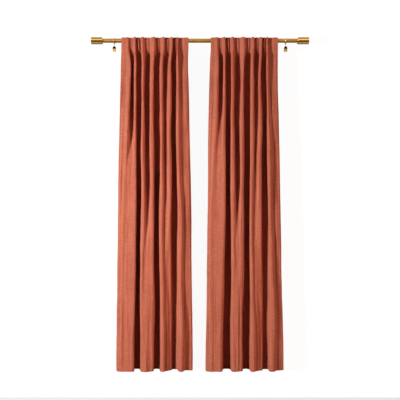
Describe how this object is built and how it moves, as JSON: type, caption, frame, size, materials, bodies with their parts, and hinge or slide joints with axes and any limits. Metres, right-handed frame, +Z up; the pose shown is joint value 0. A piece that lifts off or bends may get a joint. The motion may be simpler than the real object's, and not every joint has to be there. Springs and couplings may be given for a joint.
{
  "type": "window curtains on a rod",
  "caption": "Pair of floor-length back-tab curtain panels on a telescoping metal rod with cylinder finials, wall brackets and clip rings.",
  "frame": {"origin": "centre of the four wall screw holes, in the plane of the wall, level with the rod's axis", "axes": "+Z up, X along the rod, -Y from the wall into the room"},
  "size_m": [1.382, 0.1663, 2.1225],
  "materials": {
    "brass": "brushed brass finish on steel tube",
    "finial_brass": "satin brass-coloured finish on aluminium",
    "bracket_brass": "satin brass-coloured coating on steel",
    "screw_brass": "knurled, satin",
    "clip_brass": "polished",
    "steel": "plain",
    "nylon": "moulded",
    "curtain_cloth": "slubby linen-look weave",
    "tab_cloth": "same cloth, folded into strips"
  },
  "bodies": {
    "rod": {"rod_outer": "brass", "left_finial": "finial_brass", "left_stud": "steel", "left_plug": "nylon", "left_plate": "bracket_brass", "right_plate": "bracket_brass", "left_arm": "bracket_brass", "right_arm": "bracket_brass", "left_tab_1": "tab_cloth", "right_tab_1": "tab_cloth"},
    "rod_end": {"rod_inner": "brass", "right_finial": "finial_brass", "right_stud": "steel", "right_plug": "nylon"},
    "left_lead": {"left_panel": "curtain_cloth", "left_tab_7": "tab_cloth"},
    "left_tab_2_body": {"left_tab_2": "tab_cloth"},
    "left_tab_3_body": {"left_tab_3": "tab_cloth"},
    "left_tab_4_body": {"left_tab_4": "tab_cloth"},
    "left_tab_5_body": {"left_tab_5": "tab_cloth"},
    "left_tab_6_body": {"left_tab_6": "tab_cloth"},
    "left_lock": {"left_screw": "screw_brass"},
    "left_ring_body": {"left_ring": "clip_brass"},
    "left_bail_body": {"left_bail": "clip_brass"},
    "left_clip": {"left_back_jaw": "clip_brass", "left_pin": "steel", "left_spring": "steel"},
    "left_jaw": {"left_front_jaw": "clip_brass"},
    "right_lead": {"right_panel": "curtain_cloth", "right_tab_7": "tab_cloth"},
    "right_tab_2_body": {"right_tab_2": "tab_cloth"},
    "right_tab_3_body": {"right_tab_3": "tab_cloth"},
    "right_tab_4_body": {"right_tab_4": "tab_cloth"},
    "right_tab_5_body": {"right_tab_5": "tab_cloth"},
    "right_tab_6_body": {"right_tab_6": "tab_cloth"},
    "right_lock": {"right_screw": "screw_brass"},
    "right_ring_body": {"right_ring": "clip_brass"},
    "right_bail_body": {"right_bail": "clip_brass"},
    "right_clip": {"right_back_jaw": "clip_brass", "right_pin": "steel", "right_spring": "steel"},
    "right_jaw": {"right_front_jaw": "clip_brass"}
  },
  "joints": [
    {"name": "rod_extend", "type": "slide", "parent": "rod", "child": "rod_end", "axis": [1, 0, 0], "range_m": [0, 0.965]},
    {"name": "left_draw", "type": "slide", "parent": "rod", "child": "left_lead", "axis": [1, 0, 0], "range_m": [-0.12, 0.036], "deforming": ["left_panel"]},
    {"name": "left_tab_2_slide", "type": "slide", "parent": "rod", "child": "left_tab_2_body", "axis": [1, 0, 0], "range_m": [-0.00857, 0.00257]},
    {"name": "left_tab_3_slide", "type": "slide", "parent": "rod", "child": "left_tab_3_body", "axis": [1, 0, 0], "range_m": [-0.03194, 0.00958]},
    {"name": "left_tab_4_slide", "type": "slide", "parent": "rod", "child": "left_tab_4_body", "axis": [1, 0, 0], "range_m": [-0.0682, 0.02046]},
    {"name": "left_tab_5_slide", "type": "slide", "parent": "rod", "child": "left_tab_5_body", "axis": [1, 0, 0], "range_m": [-0.09678, 0.02903]},
    {"name": "left_tab_6_slide", "type": "slide", "parent": "rod", "child": "left_tab_6_body", "axis": [1, 0, 0], "range_m": [-0.11465, 0.0344]},
    {"name": "left_screw_turn", "type": "hinge", "parent": "rod", "child": "left_lock", "pos_m": [-0.48, -0.09, 0], "axis": [0, 0, 1], "range_deg": [0, 360]},
    {"name": "left_ring_slide", "type": "slide", "parent": "rod", "child": "left_ring_body", "axis": [1, 0, 0], "range_m": [-0.058, 0.026]},
    {"name": "left_bail_swing", "type": "hinge", "parent": "left_ring_body", "child": "left_bail_body", "pos_m": [-0.544, -0.09, -0.02885], "axis": [1, 0, 0], "range_deg": [-50, 50]},
    {"name": "left_clip_swing", "type": "hinge", "parent": "left_bail_body", "child": "left_clip", "pos_m": [-0.544, -0.09, -0.05185], "axis": [1, 0, 0], "range_deg": [-12, 12]},
    {"name": "left_jaw_open", "type": "hinge", "parent": "left_clip", "child": "left_jaw", "pos_m": [-0.544, -0.09, -0.05185], "axis": [-1, 0, 0], "range_deg": [0, 25], "stiffness_Nm_per_rad": 0.1, "springref_deg": -22.92, "deforming": ["left_spring"]},
    {"name": "right_draw", "type": "slide", "parent": "rod", "child": "right_lead", "axis": [-1, 0, 0], "range_m": [-0.12, 0.036], "deforming": ["right_panel"]},
    {"name": "right_tab_2_slide", "type": "slide", "parent": "rod", "child": "right_tab_2_body", "axis": [-1, 0, 0], "range_m": [-0.00535, 0.00161]},
    {"name": "right_tab_3_slide", "type": "slide", "parent": "rod", "child": "right_tab_3_body", "axis": [-1, 0, 0], "range_m": [-0.02323, 0.00697]},
    {"name": "right_tab_4_slide", "type": "slide", "parent": "rod", "child": "right_tab_4_body", "axis": [-1, 0, 0], "range_m": [-0.0518, 0.01554]},
    {"name": "right_tab_5_slide", "type": "slide", "parent": "rod", "child": "right_tab_5_body", "axis": [-1, 0, 0], "range_m": [-0.08806, 0.02642]},
    {"name": "right_tab_6_slide", "type": "slide", "parent": "rod", "child": "right_tab_6_body", "axis": [-1, 0, 0], "range_m": [-0.11143, 0.03343]},
    {"name": "right_screw_turn", "type": "hinge", "parent": "rod", "child": "right_lock", "pos_m": [0.48, -0.09, 0], "axis": [0, 0, 1], "range_deg": [0, 360]},
    {"name": "right_ring_slide", "type": "slide", "parent": "rod", "child": "right_ring_body", "axis": [1, 0, 0], "range_m": [-0.026, 0.058]},
    {"name": "right_bail_swing", "type": "hinge", "parent": "right_ring_body", "child": "right_bail_body", "pos_m": [0.544, -0.09, -0.02885], "axis": [1, 0, 0], "range_deg": [-50, 50]},
    {"name": "right_clip_swing", "type": "hinge", "parent": "right_bail_body", "child": "right_clip", "pos_m": [0.544, -0.09, -0.05185], "axis": [1, 0, 0], "range_deg": [-12, 12]},
    {"name": "right_jaw_open", "type": "hinge", "parent": "right_clip", "child": "right_jaw", "pos_m": [0.544, -0.09, -0.05185], "axis": [-1, 0, 0], "range_deg": [0, 25], "stiffness_Nm_per_rad": 0.1, "springref_deg": -22.92, "deforming": ["right_spring"]}
  ],
  "couplings": [
    {"joint": "left_tab_2_slide", "follows": "left_draw", "ratio": 0.071414},
    {"joint": "left_tab_3_slide", "follows": "left_draw", "ratio": 0.26615},
    {"joint": "left_tab_4_slide", "follows": "left_draw", "ratio": 0.56834},
    {"joint": "left_tab_5_slide", "follows": "left_draw", "ratio": 0.80646},
    {"joint": "left_tab_6_slide", "follows": "left_draw", "ratio": 0.95543},
    {"joint": "right_tab_2_slide", "follows": "right_draw", "ratio": 0.044565},
    {"joint": "right_tab_3_slide", "follows": "right_draw", "ratio": 0.19354},
    {"joint": "right_tab_4_slide", "follows": "right_draw", "ratio": 0.43166},
    {"joint": "right_tab_5_slide", "follows": "right_draw", "ratio": 0.73385},
    {"joint": "right_tab_6_slide", "follows": "right_draw", "ratio": 0.92859}
  ]
}
